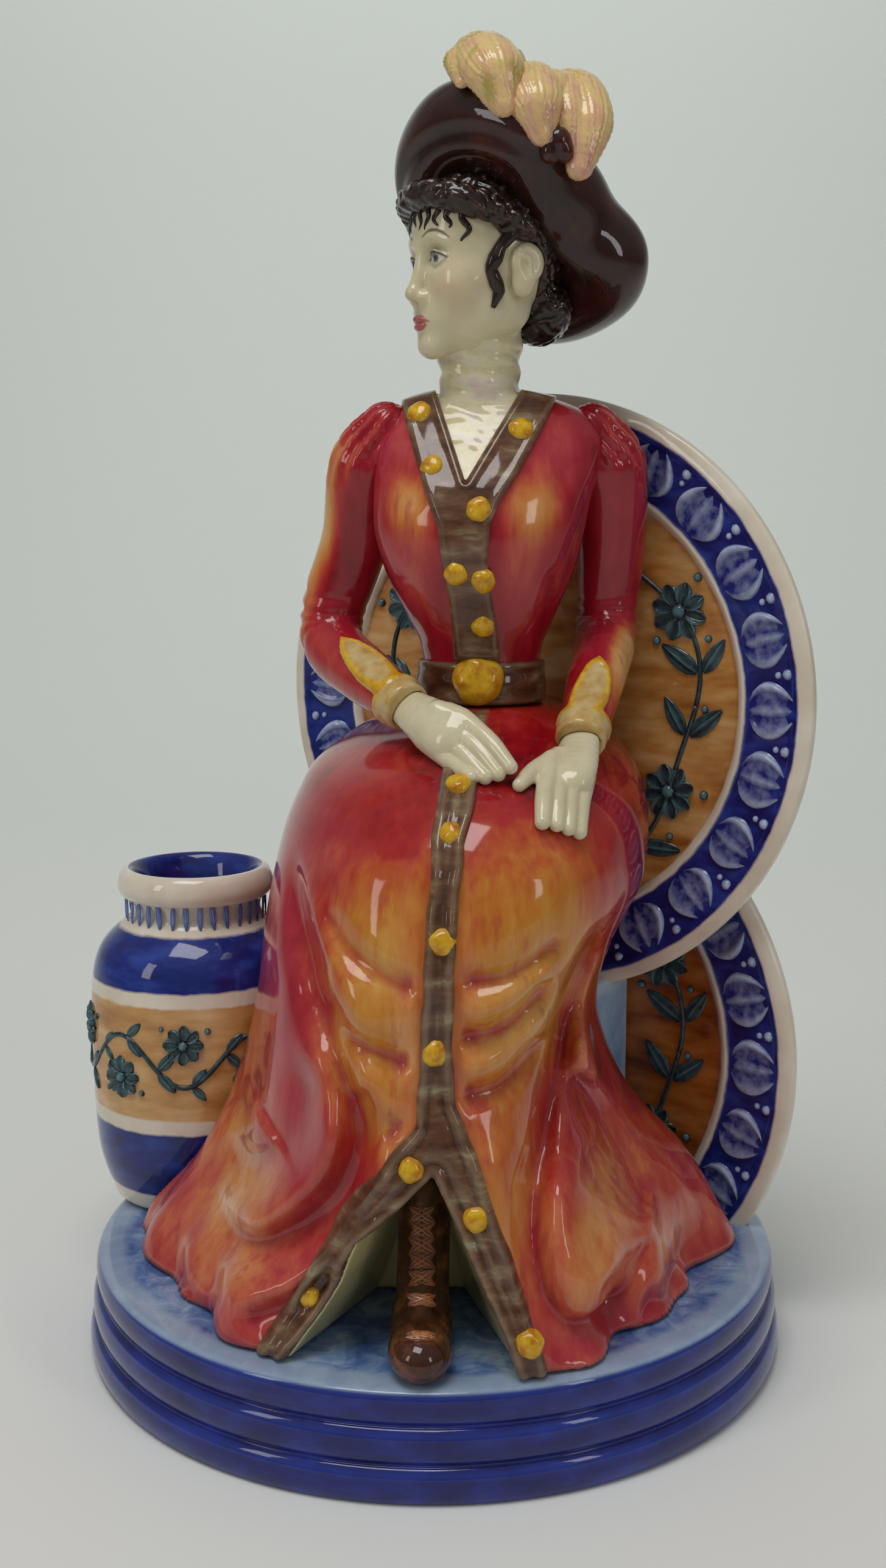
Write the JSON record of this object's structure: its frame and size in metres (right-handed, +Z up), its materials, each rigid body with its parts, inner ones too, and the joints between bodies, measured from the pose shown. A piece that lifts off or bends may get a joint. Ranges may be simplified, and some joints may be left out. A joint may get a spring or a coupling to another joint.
{
  "type": "ceramic figurine",
  "caption": "Glazed ceramic figurine of a seated lady in a long buttoned dress and plumed hat, on a round plinth with a vase and standing chargers",
  "frame": {"origin": "centre of the plinth's underside, on the surface that it stands on", "axes": "+Z up through the figure, -Y towards the viewer, +X to the viewer's right"},
  "size_m": [0.1344, 0.1288, 0.2283],
  "materials": {
    "plinth_glaze": "glossy cobalt glaze over a pale blue top",
    "seat_glaze": "glossy pale blue glaze",
    "vase_glaze": "glossy cream, cobalt and tan glazes in bands",
    "charger_glaze": "glossy tan middle, cobalt border and cream lip",
    "dress_glaze": "glossy crimson glaze shaded to rose and orange",
    "lining_glaze": "glossy cream glaze",
    "band_glaze": "glossy grey-brown glaze",
    "gold_glaze": "glossy golden ochre glaze",
    "skin_glaze": "glossy ivory glaze",
    "blouse_glaze": "glossy ivory glaze with lilac shading",
    "hair_glaze": "glossy near-black brown glaze",
    "hat_glaze": "glossy dark brown glaze",
    "plume_glaze": "glossy peach and yellow glazes",
    "boot_glaze": "glossy chestnut glaze"
  },
  "bodies": {
    "root": {"plinth": "plinth_glaze", "vase": "vase_glaze", "charger_upper": "charger_glaze", "charger_lower": "charger_glaze", "seat_block": "seat_glaze", "skirt": "dress_glaze", "skirt_lining": "lining_glaze", "boot": "boot_glaze", "skirt_band": "band_glaze", "bodice": "dress_glaze", "blouse": "blouse_glaze", "front_band": "band_glaze", "belt": "band_glaze", "sleeve_left": "dress_glaze", "sleeve_right": "dress_glaze", "cuff_left": "gold_glaze", "cuff_right": "gold_glaze", "hand_left": "skin_glaze", "hand_right": "skin_glaze", "head": "skin_glaze", "hair": "hair_glaze", "hat": "hat_glaze", "plume_left": "plume_glaze", "plume_middle": "plume_glaze", "plume_right": "plume_glaze", "hat_knot": "hat_glaze", "buckle": "gold_glaze", "bodice_button_1": "gold_glaze", "bodice_button_2": "gold_glaze", "bodice_button_3": "gold_glaze", "bodice_button_4": "gold_glaze", "bodice_button_5": "gold_glaze", "bodice_button_6": "gold_glaze", "bodice_button_7": "gold_glaze", "skirt_button_1": "gold_glaze", "skirt_button_2": "gold_glaze", "skirt_button_3": "gold_glaze", "skirt_button_4": "gold_glaze", "skirt_button_5": "gold_glaze", "skirt_button_6": "gold_glaze", "skirt_button_7": "gold_glaze", "skirt_button_8": "gold_glaze"}
  },
  "joints": []
}
